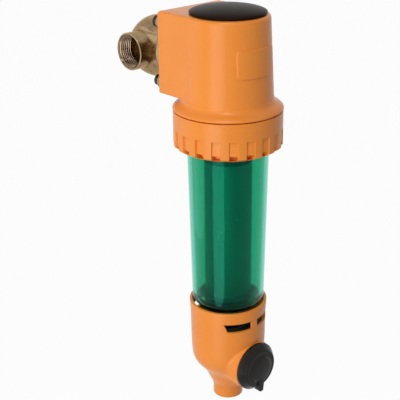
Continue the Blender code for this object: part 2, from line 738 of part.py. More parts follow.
# Clear bowl: flange, tapered wall, round foot and a spigot for the valve
ringMiddle = (bore + skirtOuter) / 2
ringInner, ringOuter = ringMiddle - bowlGrooveHalf, ringMiddle + bowlGrooveHalf
footOuter = bowlOuter - bowlTaper
footArc = arc((footOuter - bowlFootRound, bowlFoot + bowlFootRound), bowlFootRound, 0, -90, 3)
innerArc = arc((footOuter - bowlFootRound, bowlFoot + bowlFootRound),
               bowlFootRound - bowlWall, -90, 0, 3)
turned("filter_bowl",
       [(bore, bowlTop), (ringInner, bowlTop), (ringInner, bowlTop - bowlGrooveDeep),
        (ringOuter, bowlTop - bowlGrooveDeep), (ringOuter, bowlTop),
        (flangeOuter - bowlEdge, bowlTop), (flangeOuter, bowlTop - bowlEdge),
        (flangeOuter, flangeFoot), (bowlOuter + bowlFillet, flangeFoot),
        (bowlOuter, flangeFoot - bowlFillet)] +
       footArc + [(spigotOuter + bowlFillet, bowlFoot), (spigotOuter, bowlFoot - bowlFillet),
                  (spigotOuter, spigotFoot), (spigotBore, spigotFoot),
                  (spigotBore, bowlFoot + bowlWall)] + innerArc,
       greenClear, place=onFilter)
tube("bowl_seal", ringOuter - gap, ringInner + gap, bowlTop - bowlGrooveDeep + gap,
     bowlTop + gap / 6, mat=rubber, place=onFilter)

# Drain valve body, screwed over the bowl's spigot
bodyTop = bowlFoot - valveTop
bodyStep = spigotFoot - gap - socketTall
chamberTop = valveHeight + ballRound + seatSpace
seatLow = stemRound + 2 * gap
bodyFoot = valveHeight - ballRound - valveBelow
wayRound = ballBore + valveWay
valvePiece = dict(place=onFilter, steps=middleFacets)
body = turned("valve_body",
              [(spigotOuter + gap, bodyTop), (socketOuter - socketEdge, bodyTop),
               (socketOuter, bodyTop - socketEdge), (socketOuter, bodyStep),
               (valveOuter, webTop + webEdge), (valveOuter, bodyFoot), (valveBore, bodyFoot),
               (valveBore, chamberTop), (wayRound, chamberTop),
               (wayRound, spigotFoot - gap), (spigotOuter + gap, spigotFoot - gap)],
              black, **valvePiece)
onStem = dict(place=(0, -pipeToFilter, valveHeight), turn=alongFront)
cut(body, rod("gland hole", glandOuter - glandStep + gap, ballRound, valveOuter + mm,
              steps=smallFacets, **onStem))

# Ball with its bore across the flow, held between two seats
ball = turned("valve_ball", [(r, z) for r, z in arc((0, 0), ballRound, 90, -90, 9)]
              [1:-1] + [(0, -ballRound), (0, ballRound)], chrome, smallFacets, **onStem)
cut(ball, rod("ball bore", ballBore, -ballRound - mm, ballRound + mm, steps=smallFacets,
              place=(0, -pipeToFilter, valveHeight), turn=alongX),
    block("tang slot", (-tangThick / 2 - gap, -ballRound, ballRound - tangDeep),
          (tangThick / 2 + gap, ballRound, ballRound + mm), **onStem))


def seatProfile(sign):
    # The cone that faces the ball stays just off it
    near, far = valveHeight + sign * seatLow, valveHeight + sign * (chamberTop - gap - valveHeight)
    edge = ballBore + seatEdge
    lean = math.sqrt((ballRound + gap) ** 2 - edge ** 2)
    return [(edge, far), (valveBore - gap, far), (valveBore - gap, near),
            (math.sqrt((ballRound + gap) ** 2 - seatLow ** 2), near),
            (edge, valveHeight + sign * lean)]


turned("seat_upper", seatProfile(1), white, **valvePiece)
turned("seat_lower", seatProfile(-1), white, **valvePiece)
nozzleTop = valveHeight - (chamberTop - valveHeight) - gap
lipFoot = bodyFoot - gap - nozzleLip
turned("valve_nozzle",
       [(wayRound, nozzleTop), (valveBore - gap, nozzleTop), (valveBore - gap, bodyFoot - gap),
        (valveOuter - nozzleRim, bodyFoot - gap), (valveOuter - nozzleRim, lipFoot),
        (wayRound + nozzleWall, lipFoot - nozzleCone),
        (wayRound + nozzleWall, nozzleTop - nozzleTall), (wayRound, nozzleTop - nozzleTall)],
       black, **valvePiece)

# Gland: screwed in from the front, it carries the stem and locks the cup on
glandBack = valveBore + glandStep
turned("stem_gland",
       [(stemBore, glandBack), (glandOuter - glandStep, glandBack),
        (glandOuter - glandStep, valveOuter + gap), (glandOuter, valveOuter + gap),
        (glandOuter, bossFace - glandRimThick), (glandRim, bossFace - glandRimThick),
        (glandRim, bossFace - gap), (stemBore, bossFace - gap)], black, smallFacets, **onStem)
stemFront = bossFace + knobSocket - stemSpare
tangEnd = ballRound - tangDeep + gap
sealAt = valveOuter + stemSealOut
sealFoot, sealTop = sealAt - stemSealHalf, sealAt + stemSealHalf
stem = turned("valve_stem",
              [(0, tangEnd), (stemRound, tangEnd), (stemRound, sealFoot),
               (stemRound - stemGroove, sealFoot), (stemRound - stemGroove, sealTop),
               (stemRound, sealTop), (stemRound, stemFront - stemEdge),
               (stemRound - stemEdge, stemFront), (0, stemFront)], chrome, smallFacets, **onStem)
cut(stem,
    block("tang side a", (tangThick / 2, -2 * stemRound, 0),
          (2 * stemRound, 2 * stemRound, ballRound + gap), **onStem),
    block("tang side b", (-2 * stemRound, -2 * stemRound, 0),
          (-tangThick / 2, 2 * stemRound, ballRound + gap), **onStem),
    block("stem flat a", (stemFlat, -2 * stemRound, bossFace + flatStart),
          (2 * stemRound, 2 * stemRound, stemFront + mm), **onStem),
    block("stem flat b", (-2 * stemRound, -2 * stemRound, bossFace + flatStart),
          (-stemFlat, 2 * stemRound, stemFront + mm), **onStem))
tube("stem_seal", stemRound + gap / 3, stemRound - stemGroove + gap, sealFoot + gap, sealTop - gap,
     mat=rubber, steps=smallFacets, **onStem)


# Drain cup: a funnel with an air gap, so it can't draw dirty water back
def cupProfile(inset):
    # Outside of the cup from the rim down to the outlet, or its inside with an inset.
    # Each share is (how far in from rim to outlet, how far down from stem to funnel foot)
    shares = ((0.0378, -1.4765), (0.0588, -0.6176), (0.0798, -0.2353), (0.1261, -0.0147),
              (0.2689, 0.1765), (0.5294, 0.3824), (0.6975, 0.5588), (0.8109, 0.7353),
              (0.9454, 0.9118), (1.0, 1.0))
    shape = [(cupRim - inwards * (cupRim - outletRound), valveHeight - down * funnelTall)
             for inwards, down in shares]
    shape = [(cupRim, cupTop)] + shape + [(outletRound, outletFoot)]
    out = []
    for i, (r, z) in enumerate(shape):
        before, after = shape[max(0, i - 1)], shape[min(len(shape) - 1, i + 1)]
        along = Vector((after[0] - before[0], after[1] - before[1])).normalized()
        out.append((r + along.y * inset, z - along.x * inset))
    out[0] = (out[0][0], cupTop)
    out[-1] = (out[-1][0], outletFoot)
    return out


cup = turned("drain_cup", cupProfile(0) + list(reversed(cupProfile(cupWall))), orange,
             place=onFilter)
boss = rod("boss shape", bossRound, bossBack, bossFace, **onStem)
cut(boss, turned("inside of boss", [(0, cupTop)] + cupProfile(cupWall * 0.55) + [(0, outletFoot)],
                 place=onFilter))
join(cup, boss)
# Web of four arms and a hub that sits under the valve body's shoulder
join(cup, tube("web hub", cupHub + webHub, cupHub, webTop - webTall, webTop, place=onFilter,
               steps=middleFacets))
for k in range(4):
    join(cup, block(f"web arm {k}", (cupHub + webHub / 3, -webArm / 2, webTop - webTall + webEdge),
                    (cupRim - cupWall, webArm / 2, webTop - webEdge),
                    place=onFilter, turn=(0, 0, 45 + 90 * k)))


def slotShape(name, centre):
    # A window in the wall between two angles, narrower at its foot
    low, high = slotTop - slotTall, slotTop
    rings = []
    for z, slant in ((low, slotSlant), (high, 0)):
        ends = [slotStart + (slotEnd - slant - slotStart) * i / 5 for i in range(6)]
        ring = [(cupRim + cupWall, a) for a in ends]
        ring += [(cupRim - 2.5 * cupWall, a) for a in reversed(ends)]
        rings.append([(r * math.cos(math.radians(centre[0] + centre[1] * a)),
                       r * math.sin(math.radians(centre[0] + centre[1] * a)), z)
                      for r, a in ring])
    return loft(name, rings, place=onFilter)


for k, centre in enumerate(((-90, 1), (-90, -1), (90, 1), (90, -1))):
    cut(cup, slotShape(f"air slot {k}", centre))
rimSeat = bossFace - glandRimThick - gap
cut(cup, turned("gland way", [(0, bossFace + mm), (glandRim + gap, bossFace + mm),
                              (glandRim + gap, rimSeat), (glandOuter + gap, rimSeat),
                              (glandOuter + gap, valveOuter), (0, valveOuter)],
                steps=smallFacets, **onStem))

# Knob: skirt, cone and crown with a pointer tab that hangs down when the drain is shut
knobBack = bossFace + gap
coneFoot = knobBack + knobSkirt
coneTop = coneFoot + knobCone
crown = [(knobFront * math.cos(math.radians(t)), coneTop + knobCrown * math.sin(math.radians(t)))
         for t in (0, 22, 46, 70)]
knob = turned("drain_knob",
              [(0, knobBack), (knobRound - knobEdge, knobBack), (knobRound, knobBack + knobEdge),
               (knobRound, coneFoot)] + crown + [(0, coneTop + knobCrown)], black, **onStem)
pointer = [(-tabFoot / 2, -tabReach), (tabFoot / 2, -tabReach),
           (tabHead / 2, -knobFront * 0.5), (-tabHead / 2, -knobFront * 0.5)]
join(knob, prism("pointer tab", pointer, coneFoot, coneTop + tabRise, **onStem))
socketHalf = stemFlat + gap
knobBore = rod("knob bore", stemBore, knobBack - mm, bossFace + knobSocket, steps=smallFacets, **onStem)
cut(knobBore,
    block("bore flat a", (socketHalf, -2 * stemRound, bossFace + flatStart + gap),
          (2 * stemRound, 2 * stemRound, bossFace + knobSocket + mm), **onStem),
    block("bore flat b", (-2 * stemRound, -2 * stemRound, bossFace + flatStart + gap),
          (-socketHalf, 2 * stemRound, bossFace + knobSocket + mm), **onStem))
cut(knob, knobBore)
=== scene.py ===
# Cyclone water filter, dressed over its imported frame: fine surfaces, materials, light and camera.
# Pieces are worked out in millimetres and made in metres, in the frame's own place.
import math
import bpy
import bmesh
import numpy as np
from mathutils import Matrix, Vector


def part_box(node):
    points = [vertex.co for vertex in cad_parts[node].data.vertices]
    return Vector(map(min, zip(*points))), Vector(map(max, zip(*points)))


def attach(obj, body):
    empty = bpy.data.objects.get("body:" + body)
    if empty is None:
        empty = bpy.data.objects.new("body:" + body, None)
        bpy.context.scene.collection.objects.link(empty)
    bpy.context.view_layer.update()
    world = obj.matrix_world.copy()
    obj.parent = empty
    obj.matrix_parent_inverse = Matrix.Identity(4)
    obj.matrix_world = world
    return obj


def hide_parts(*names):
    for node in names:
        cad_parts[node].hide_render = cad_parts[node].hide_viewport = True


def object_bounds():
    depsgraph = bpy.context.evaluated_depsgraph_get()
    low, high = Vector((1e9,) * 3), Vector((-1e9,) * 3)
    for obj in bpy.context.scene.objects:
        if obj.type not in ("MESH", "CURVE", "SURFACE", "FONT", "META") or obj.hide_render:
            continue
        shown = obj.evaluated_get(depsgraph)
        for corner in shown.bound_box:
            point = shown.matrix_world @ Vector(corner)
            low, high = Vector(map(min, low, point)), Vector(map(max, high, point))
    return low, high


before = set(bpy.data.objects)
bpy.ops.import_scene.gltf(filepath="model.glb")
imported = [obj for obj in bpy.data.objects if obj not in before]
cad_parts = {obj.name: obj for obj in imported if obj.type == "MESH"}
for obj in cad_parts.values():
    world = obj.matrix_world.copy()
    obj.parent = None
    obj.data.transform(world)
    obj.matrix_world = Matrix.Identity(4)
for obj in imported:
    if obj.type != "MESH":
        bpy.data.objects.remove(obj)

cadBox = [list(corner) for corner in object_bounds()]


# Measures taken from the frame

def nodeBox(node):
    # Lowest and highest corner of a CAD node, in millimetres
    low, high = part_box(node)
    return np.array(low) * 1000, np.array(high) * 1000


def nodeRadius(node):
    low, high = nodeBox(node)
    return float(high[0] - low[0]) / 2


filterY = float(sum(corner[1] for corner in nodeBox("filter_bowl")) / 2)
stemZ = float(sum(corner[2] for corner in nodeBox("valve_ball")) / 2)
onFilter = (0.0, filterY, 0.0)
onStem = (0.0, filterY, stemZ)
onPipe = (0.0, 0.0, 0.0)
upright = np.eye(3)
towardsOutlet = np.array([[0, 0, -1], [0, 1, 0], [1, 0, 0]])    # local Z along the pipe
towardsFront = np.array([[1, 0, 0], [0, 0, 1], [0, -1, 0]])     # local Z to the front, Y up
nutRadius = nodeRadius("union_nut")
flangeRadius = nodeRadius("slide_ring")
gap = 0.3


# Grid surfaces

def gridMesh(name, points, where=onFilter, turn=upright, closeRows=True, sharp=38.0):
    # points[row, column] is a closed round of columns; rows close too, or end in flat faces
    rows, columns = points.shape[:2]
    solid = (points.reshape(-1, 3) @ turn + np.array(where)) / 1000
    row, column = np.meshgrid(np.arange(rows if closeRows else rows - 1), np.arange(columns),
                              indexing="ij")
    nextRow, nextColumn = (row + 1) % rows, (column + 1) % columns
    faces = np.stack([row * columns + column, row * columns + nextColumn,
                      nextRow * columns + nextColumn, nextRow * columns + column], -1)
    mesh = bpy.data.meshes.new(name)
    mesh.from_pydata(solid.tolist(), [], faces.reshape(-1, 4).tolist())
    bm = bmesh.new()
    bm.from_mesh(mesh)
    bmesh.ops.remove_doubles(bm, verts=bm.verts, dist=2e-7)
    if not closeRows:
        bmesh.ops.holes_fill(bm, edges=[e for e in bm.edges if e.is_boundary], sides=0)
    bmesh.ops.recalc_face_normals(bm, faces=bm.faces)
    bm.to_mesh(mesh)
    bm.free()
    mesh.shade_smooth()
    mesh.set_sharp_from_angle(angle=math.radians(sharp))
    obj = bpy.data.objects.new(name, mesh)
    bpy.context.scene.collection.objects.link(obj)
    return obj


def rounded(corners, steps=5):
    # A closed outline whose corners (across, up, radius) become arcs that touch both sides
    spots = np.array([c[:2] for c in corners], float)
    out = []
    for i, corner in enumerate(corners):
        here = spots[i]
        back, ahead = spots[i - 1] - here, spots[(i + 1) % len(spots)] - here
        room = min(np.linalg.norm(back), np.linalg.norm(ahead))
        back, ahead = back / np.linalg.norm(back), ahead / np.linalg.norm(ahead)
        opening = math.acos(np.clip(back @ ahead, -1, 1))
        if corner[2] <= 0 or opening > math.pi - 0.02:
            out.append(here[None])
            continue
        reach = min(corner[2] / math.tan(opening / 2), 0.49 * room)
        radius = reach * math.tan(opening / 2)
        middle = (back + ahead) / np.linalg.norm(back + ahead)
        centre = here + middle * radius / math.sin(opening / 2)
        start, end = here + back * reach - centre, here + ahead * reach - centre
        first = math.atan2(start[1], start[0])
        sweep = math.remainder(math.atan2(end[1], end[0]) - first, math.tau)
        t = first + sweep * np.linspace(0, 1, steps + 1)
        out.append(centre + radius * np.stack([np.cos(t), np.sin(t)], -1))
    return np.concatenate(out)


def turned(profile, steps=128):
    # A profile (radius, height) carried round the local Z axis
    angle = np.linspace(0, math.tau, steps, endpoint=False)
    radius, height = profile[:, :1], profile[:, 1:]
    return np.stack([radius * np.cos(angle), radius * np.sin(angle),
                     height + 0 * angle], -1)


def throughPoints(spots, steps=8):
    # A smooth curve through points: each span is the cubic that leaves and arrives as its
    # neighbours lie
    p = np.array(spots, float)
    before = np.vstack([2 * p[0] - p[1], p[:-1]])
    after = np.vstack([p[1:], 2 * p[-1] - p[-2]])
    slope = (after - before) / 2
    t = np.linspace(0, 1, steps, endpoint=False)[None, :, None]
    a, b, m, n = (v[:, None, :] for v in (p[:-1], p[1:], slope[:-1], slope[1:]))
    curve = ((2 * t**3 - 3 * t**2 + 1) * a + (t**3 - 2 * t**2 + t) * m +
             (3 * t**2 - 2 * t**3) * b + (t**3 - t**2) * n)
    return np.vstack([curve.reshape(-1, p.shape[1]), p[-1:]])


def offsetLine(line, distance):
    # The same line moved sideways, to the left of its own direction
    along = np.gradient(line, axis=0)
    along /= np.linalg.norm(along, axis=1, keepdims=True)
    return line + distance * np.stack([-along[:, 1], along[:, 0]], -1)


def slab(outline, low, high, edge=0.5, steps=4, lowEdge=None):
    # An outline (x, y) carried up from low to high, with both rims rounded over
    closed = np.vstack([outline[-1:], outline, outline[:1]])
    along = np.gradient(closed, axis=0)[1:-1]
    along /= np.linalg.norm(along, axis=1, keepdims=True)
    inwards = np.stack([-along[:, 1], along[:, 0]], -1)
    if np.sum((outline.mean(0) - outline) * inwards) < 0:
        inwards = -inwards
    foot = edge if lowEdge is None else lowEdge
    t = np.linspace(0, math.pi / 2, steps + 1)
    insets = np.concatenate([foot * (1 - np.sin(t)), edge * (1 - np.cos(t))])
    heights = np.concatenate([low + foot * (1 - np.cos(t)), high - edge * (1 - np.sin(t))])
    flat = outline[None] + inwards[None] * insets[:, None, None]
    grid = np.concatenate([flat, np.broadcast_to(heights[:, None, None], flat.shape[:2] + (1,))],
                          -1)
    return grid


def roundedRectangle(wide, tall, radius, steps=6):
    corners = [(wide / 2, -tall / 2, radius), (wide / 2, tall / 2, radius),
               (-wide / 2, tall / 2, radius), (-wide / 2, -tall / 2, radius)]
    return rounded(corners, steps)


def softMax(a, b, blend):
    # The larger of two values, rounded over where they're closer than blend
    share = np.maximum(blend - np.abs(a - b), 0)
    return np.maximum(a, b) + share**2 / (4 * np.maximum(blend, 1e-6))


def softMin(a, b, blend):
    return -softMax(-a, -b, blend)


def carve(obj, cutters, operation="DIFFERENCE", sharp=38.0):
    # Boolean with each cutter in turn, made real, and the cutters removed
    for cutter in cutters:
        change = obj.modifiers.new(cutter.name, "BOOLEAN")
        change.object = cutter
        change.operation = operation
        change.solver = "EXACT"
        mesh = bpy.data.meshes.new_from_object(
            obj.evaluated_get(bpy.context.evaluated_depsgraph_get()))
        obj.modifiers.clear()
        obj.data = mesh
        bpy.data.objects.remove(cutter)
    obj.data.shade_smooth()
    obj.data.set_sharp_from_angle(angle=math.radians(sharp))
    return obj


def softCopy(node, name, sharp=35.0):
    # A CAD node's own shape with its triangles joined and shaded smooth
    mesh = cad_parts[node].data.copy()
    mesh.materials.clear()
    bm = bmesh.new()
    bm.from_mesh(mesh)
    bmesh.ops.remove_doubles(bm, verts=bm.verts, dist=2e-6)
    bmesh.ops.dissolve_limit(bm, angle_limit=math.radians(0.5), verts=bm.verts, edges=bm.edges)
    bm.to_mesh(mesh)
    bm.free()
    mesh.shade_smooth()
    mesh.set_sharp_from_angle(angle=math.radians(sharp))
    obj = bpy.data.objects.new(name, mesh)
    bpy.context.scene.collection.objects.link(obj)
    return obj


def finishPiece(obj, mat, body, stands=()):
    obj.data.materials.clear()
    obj.data.materials.append(mat)
    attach(obj, body)
    if stands:
        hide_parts(*stands)
    return obj


# Shader maths written as expressions

class Wire:
    # One socket's value; arithmetic on it adds Math nodes to the same tree
    def __init__(self, tree, socket):
        self.tree, self.socket = tree, socket

    def maths(self, operation, *others, flip=False):
        node = self.tree.nodes.new("ShaderNodeMath")
        node.operation = operation
        values = [self, *others]
        if flip:
            values.reverse()
        for socket, value in zip(node.inputs, values):
            plug(self.tree, socket, value)
        return Wire(self.tree, node.outputs[0])

    def __add__(self, other): return self.maths("ADD", other)
    def __radd__(self, other): return self.maths("ADD", other)
    def __sub__(self, other): return self.maths("SUBTRACT", other)
    def __rsub__(self, other): return self.maths("SUBTRACT", other, flip=True)
    def __mul__(self, other): return self.maths("MULTIPLY", other)
    def __rmul__(self, other): return self.maths("MULTIPLY", other)
    def sin(self): return self.maths("SINE")


def plug(tree, socket, value):
    if isinstance(value, Wire):
        tree.links.new(value.socket, socket)
    elif isinstance(value, (tuple, list)):
        socket.default_value = (*value, 1.0)[:len(socket.default_value)]
    else:
        socket.default_value = value


class Recipe:
    # A material or world tree; add() makes any node from its type, settings and inputs
    def __init__(self, name, tree=None):
        if tree is None:
            self.mat = bpy.data.materials.new(name)
            self.mat.use_nodes = True
            tree = self.mat.node_tree
        self.tree = tree
        self.shader = tree.nodes.get("Principled BSDF")

    def add(self, kind, settings=None, inputs=None, output=0):
        node = self.tree.nodes.new("ShaderNode" + kind)
        for key, value in (settings or {}).items():
            setattr(node, key, value)
        for key, value in (inputs or {}).items():
            plug(self.tree, node.inputs[key], value)
        return Wire(self.tree, node.outputs[output])

    def place(self):
        return self.add("TexCoord", output="Object")

    def noise(self, scale, detail=3.0, roughness=0.55):
        return self.add("TexNoise", None, {"Vector": self.place(), "Scale": scale,
                                           "Detail": detail, "Roughness": roughness})

    def mix(self, factor, low, high):
        # Set to colours, a Mix node takes them at sockets 6 and 7 and gives the result at 2
        return self.add("Mix", {"data_type": "RGBA"}, {0: factor, 6: low, 7: high}, 2)

    def bump(self, height, distance):
        return self.add("Bump", None, {"Height": height, "Distance": distance,
                                       "Strength": 1.0})

    def surface(self, values):
        for key, value in values.items():
            plug(self.tree, self.shader.inputs[key], value)
        return self.mat

    def swap(self, factor, other):
        # The material's own surface where factor is 0, another shader where it is 1
        own = Wire(self.tree, self.shader.outputs[0])
        both = self.add("MixShader", None, {0: factor, 1: own, 2: other})
        self.tree.links.new(both.socket, self.tree.nodes["Material Output"].inputs[0])
        return self.mat


def mouldedPlastic(name, light, dark, rough, grain=0.00002, roughSpread=0.08, specular=0.3,
                   bend=1.5):
    # Moulded plastic: faint clouds of colour and a fine, shallow grain; bend is the
    # refractive index, low where a black gloss mirrors too much of the white room
    r = Recipe(name)
    clouds = r.noise(28.0, 2.0)
    fine = r.noise(1500.0, 3.0, 0.6)
    broad = r.noise(160.0, 2.0)
    height = fine * 0.7 + broad * 0.9
    return r.surface({"Base Color": r.mix(clouds, dark, light),
                      "Roughness": rough + (broad - 0.5) * roughSpread,
                      "Specular IOR Level": specular, "IOR": bend,
                      "Normal": r.bump(height, grain)})


def castMetal(name, light, dark, rough, grain, edge=(1.0, 0.86, 0.66)):
    # Cast and plated metal: cloudy tone, pitted skin; edge tints what grazes it
    r = Recipe(name)
    clouds = r.noise(70.0, 4.0, 0.65)
    skin = r.noise(1100.0, 4.0, 0.7)
    speckle = (clouds * 0.5 + skin * 0.5 - 0.5) * 2.6 + 0.5
    return r.surface({"Base Color": r.mix(speckle, dark, light), "Metallic": 1.0,
                      "Roughness": rough + (clouds - 0.5) * 0.18 + (skin - 0.5) * 0.12,
                      "Specular Tint": edge, "Normal": r.bump(skin, grain)})


def machinedMetal(name, light, dark, rough, axis, pitch=0.45, edge=(1.0, 0.86, 0.66)):
    # Turned metal: rings of tool marks along one axis
    r = Recipe(name)
    split = r.add("SeparateXYZ", None, {"Vector": r.place()}, output=axis)
    rings = (split * (math.tau / (pitch / 1000))).sin() * 0.5 + 0.5
    clouds = r.noise(90.0, 3.0)
    return r.surface({"Base Color": r.mix(clouds, dark, light), "Metallic": 1.0,
                      "Roughness": rough + (clouds - 0.5) * 0.16, "Specular Tint": edge,
                      "Normal": r.bump(rings, 0.00003)})


def clearPlastic(name, tint, shade, rough, gleam):
    # Tinted clear plastic: Principled glass that lets lamps through to what is inside
    r = Recipe(name)
    haze = r.noise(220.0, 2.0)
    r.surface({"Base Color": tint, "Roughness": rough + haze * 0.02, "IOR": 1.47,
               "Transmission Weight": 1.0, "Specular Tint": gleam})
    lamp = r.add("LightPath", output="Is Shadow Ray")
    clear = r.add("BsdfTransparent", None, {"Color": shade})
    return r.swap(lamp, clear)


def wovenSteel(name, pitch=0.9):
    # Plain weave round the filter's axis: two crossed waves, one up and one round
    r = Recipe(name)
    along = r.add("Mapping", None, {"Vector": r.place(),
                                    "Location": (0.0, -filterY / 1000, 0.0)})
    x, y, z = (r.add("SeparateXYZ", None, {"Vector": along}, output=axis) for axis in "XYZ")
    count = round(math.tau * nodeRadius("filter_mesh") / pitch)
    warp = (y.maths("ARCTAN2", x) * count).sin()
    weft = (z * (math.tau / (pitch / 1000))).sin()
    weave = (warp * weft) * 0.5 + 0.5
    blotch = r.noise(60.0, 3.0)
    return r.surface({"Base Color": r.mix(weave, (0.04, 0.045, 0.04), (0.42, 0.43, 0.42)),
                      "Metallic": 0.9, "Roughness": 0.25 + (blotch - 0.5) * 0.12,
                      "Specular IOR Level": 0.1, "Normal": r.bump(weave, 0.00012)})


finishes = {
    "orange": mouldedPlastic("orange plastic", (0.88, 0.285, 0.04), (0.82, 0.25, 0.03), 0.3),
    "cap": mouldedPlastic("black gloss plastic", (0.018, 0.010, 0.005), (0.013, 0.007, 0.004),
                          0.3, 0.00001, specular=0.5, bend=1.09),
    "knob": mouldedPlastic("black knob plastic", (0.019, 0.015, 0.012), (0.011, 0.009, 0.008),
                           0.22, 0.00003, 0.2, specular=0.14),
    # Dark grey: the inner pieces' own colour, and painted shade on the drain cup's web
    "inside": mouldedPlastic("dark grey plastic", (0.05, 0.05, 0.05), (0.035, 0.036, 0.036),
                             0.42),
    "white": mouldedPlastic("white plastic", (0.84, 0.83, 0.8), (0.78, 0.77, 0.74), 0.42),
    "rubber": mouldedPlastic("black rubber", (0.022, 0.022, 0.022), (0.015, 0.015, 0.015),
                             0.72, 0.00003),
    "green": clearPlastic("green clear plastic", (0.02, 0.53, 0.35), (0.35, 0.8, 0.66), 0.015,
                          (0.05, 0.5, 0.4)),
    "cast": castMetal("cast nickel brass", (0.48, 0.335, 0.19), (0.085, 0.053, 0.028), 0.25,
                      0.00005),
    "turned": machinedMetal("turned nickel brass", (0.36, 0.255, 0.175), (0.10, 0.068, 0.045),
                            0.2, "X"),
    "screw": castMetal("blackened steel", (0.07, 0.06, 0.05), (0.03, 0.026, 0.022), 0.34,
                       0.00002, (0.6, 0.55, 0.5)),
    "polished": castMetal("polished metal", (0.76, 0.76, 0.74), (0.70, 0.70, 0.68), 0.12,
                          0.00001),
    "mesh": wovenSteel("woven steel"),
}
print("materials ready:", len(finishes))


# Head: a drafted round front that runs into a square end, a collar and the threaded skirt
head = dict(radius=39.7, draft=0.05, top=46.5, foot=-32.1, reach=54.6, edge=3.2, footEdge=0.8,
            corner=2.4, crease=1.4, collar=nutRadius + gap, collarTop=-31.9, collarStep=0.3,
            seam=-43.1, seamEdge=0.8, skirt=48.4, skirtFoot=-64.1, bore=36.6,
            cavity=23.0, capSeat=29.8, capSeatDeep=5.3, waterWay=22.3, screwHole=3.3,
            screwDeep=16.0, wallRest=0.4, overBlend=1.5, rampIn=0.25)
thread = dict(pitch=6.0, depth=1.6, top=-45.1, foot=-62.6, crest=1.6, steep=5.2, play=0.3)


def threadShape(angle, height, phase=0.0):
    # A trapezoid that climbs one pitch per turn: 0 at the root, 1 at the crest
    turn = np.mod(height / thread["pitch"] - angle / math.tau + phase, 1.0)
    fade = np.clip(np.minimum(thread["top"] - height, height - thread["foot"]) / 1.0, 0, 1)
    return np.clip(thread["crest"] - np.abs(turn - 0.5) * thread["steep"], 0, 1) * fade


def headWall(angle, height, inset=0.0):
    # The larger of a drafted circle and, on the pipe's side, a box with a flat end
    front = head["radius"] + head["draft"] * (head["top"] - height) - inset + 0 * angle
    side = (head["radius"] - inset) / np.maximum(np.abs(np.cos(angle)), 1e-6)
    end = (head["reach"] - inset) / np.maximum(np.sin(angle), 1e-6)
    box = np.where(np.sin(angle) > 0, softMin(side, end, head["corner"]), 0)
    return softMax(front, box,
                   head["crease"] * np.clip(np.sin(angle) / head["rampIn"], 0.01, 1))


# The collar's shoulder, hollow above and round below: share of the way out and of the way down
shoulderLine = throughPoints([(0, 0), (0.03, 0.15), (0.15, 0.36), (0.40, 0.55), (0.70, 0.70),
                              (0.90, 0.84), (0.985, 0.95), (1, 1)], 4)


def headGrid():
    # Each row is a distance from the axis and a height, for every direction
    corner = math.degrees(math.atan2(head["reach"], head["radius"]))
    degrees = [np.linspace(0, 360, 180, endpoint=False)]
    degrees += [middle + np.linspace(-4, 4, 33) for middle in (corner, 180 - corner)]
    degrees += [np.linspace(0, 32, 33), np.linspace(148, 180, 33)]
    angle = np.radians(np.unique(np.concatenate(degrees).round(3)))
    flat = np.ones_like(angle)
    top, foot, edge = head["top"], head["foot"], head["edge"]
    t = np.linspace(0, math.pi / 2, 8)
    rows = [(0, top - head["capSeatDeep"]), (head["capSeat"], top - head["capSeatDeep"]),
            (head["capSeat"], top)]
    rows = [(r * flat, z * flat) for r, z in rows]
    rows += [(headWall(angle, top - edge, edge * (1 - math.sin(a))),
              (top - edge * (1 - math.cos(a))) * flat) for a in t]
    wallFoot = foot + head["collarStep"] + head["wallRest"]
    rows += [(headWall(angle, z), z * flat) for z in np.linspace(top - edge, wallFoot, 16)[1:]]
    # Where the wall is wider than the collar it turns in under itself; elsewhere it runs
    # out into the hollow of the collar's shoulder
    base = headWall(angle, foot)
    start = head["radius"] + head["draft"] * (top - head["collarTop"]) + head["collarStep"]
    over = np.clip((base - start) / head["overBlend"], 0, 1)
    ends = head["collarTop"] + (foot - head["collarTop"]) * over
    turnIn = head["footEdge"] * over - head["collarStep"] * (1 - over)
    rows += [(base - turnIn * (1 - math.cos(a)), ends + np.abs(turnIn) * (1 - math.sin(a)))
             for a in t]
    seam, edge = head["seam"], head["seamEdge"]
    rows += [((start + (head["collar"] - start) * out) * flat,
              ends + (seam + edge - ends) * down) for out, down in shoulderLine]
    rows += [((head["collar"] - edge * (1 - math.cos(a))) * flat,
              (seam + edge * (1 - math.sin(a))) * flat) for a in t]
    for z in np.linspace(seam, head["skirtFoot"], 72):
        cut = thread["depth"] * (1 - threadShape(angle, z * flat)) * (z < thread["top"] + 1)
        rows.append((head["skirt"] - cut, z * flat))
    rows += [(r * flat, z * flat) for r, z in
             ((head["bore"], head["skirtFoot"]), (head["bore"], head["cavity"]),
              (0, head["cavity"]))]
    radius, height = (np.array([row[i] for row in rows]) for i in (0, 1))
    return np.stack([radius * np.cos(angle), radius * np.sin(angle), height], -1)


def rod(name, radius, low, high, where, turn, steps=64):
    # A plain rod used as a cutter
    return gridMesh(name, turned(np.array([[0, low], [radius, low], [radius, high], [0, high]],
                                          float), steps), where, turn, closeRows=False)


headShell = gridMesh("head_shell", headGrid())
screwAcross, screwRise = 28.7, 4.7
screwPlaces = [(sx * screwAcross, screwRise + sz * screwAcross)
               for sz in (1, -1) for sx in (-1, 1)]
faceY = -(filterY + head["reach"])      # distance from the pipe axis to the head's end face
carve(headShell, [rod("way", head["waterWay"], faceY - 1, -filterY - head["bore"] * 0.6,
                      onPipe, towardsFront)] +
      [rod("hole", head["screwHole"], faceY - 1, faceY + head["screwDeep"], (x, 0, z),
           towardsFront, 24) for x, z in screwPlaces])
finishPiece(headShell, finishes["orange"], "head", ("head_housing",))

# Bare raised plate on the front of the head
plate = dict(wide=46.0, tall=26.4, corner=4.0, middle=7.4, proud=0.9, edge=0.45, sunk=1.2,
             flatRings=9, edgeRings=5, sidePoints=14)


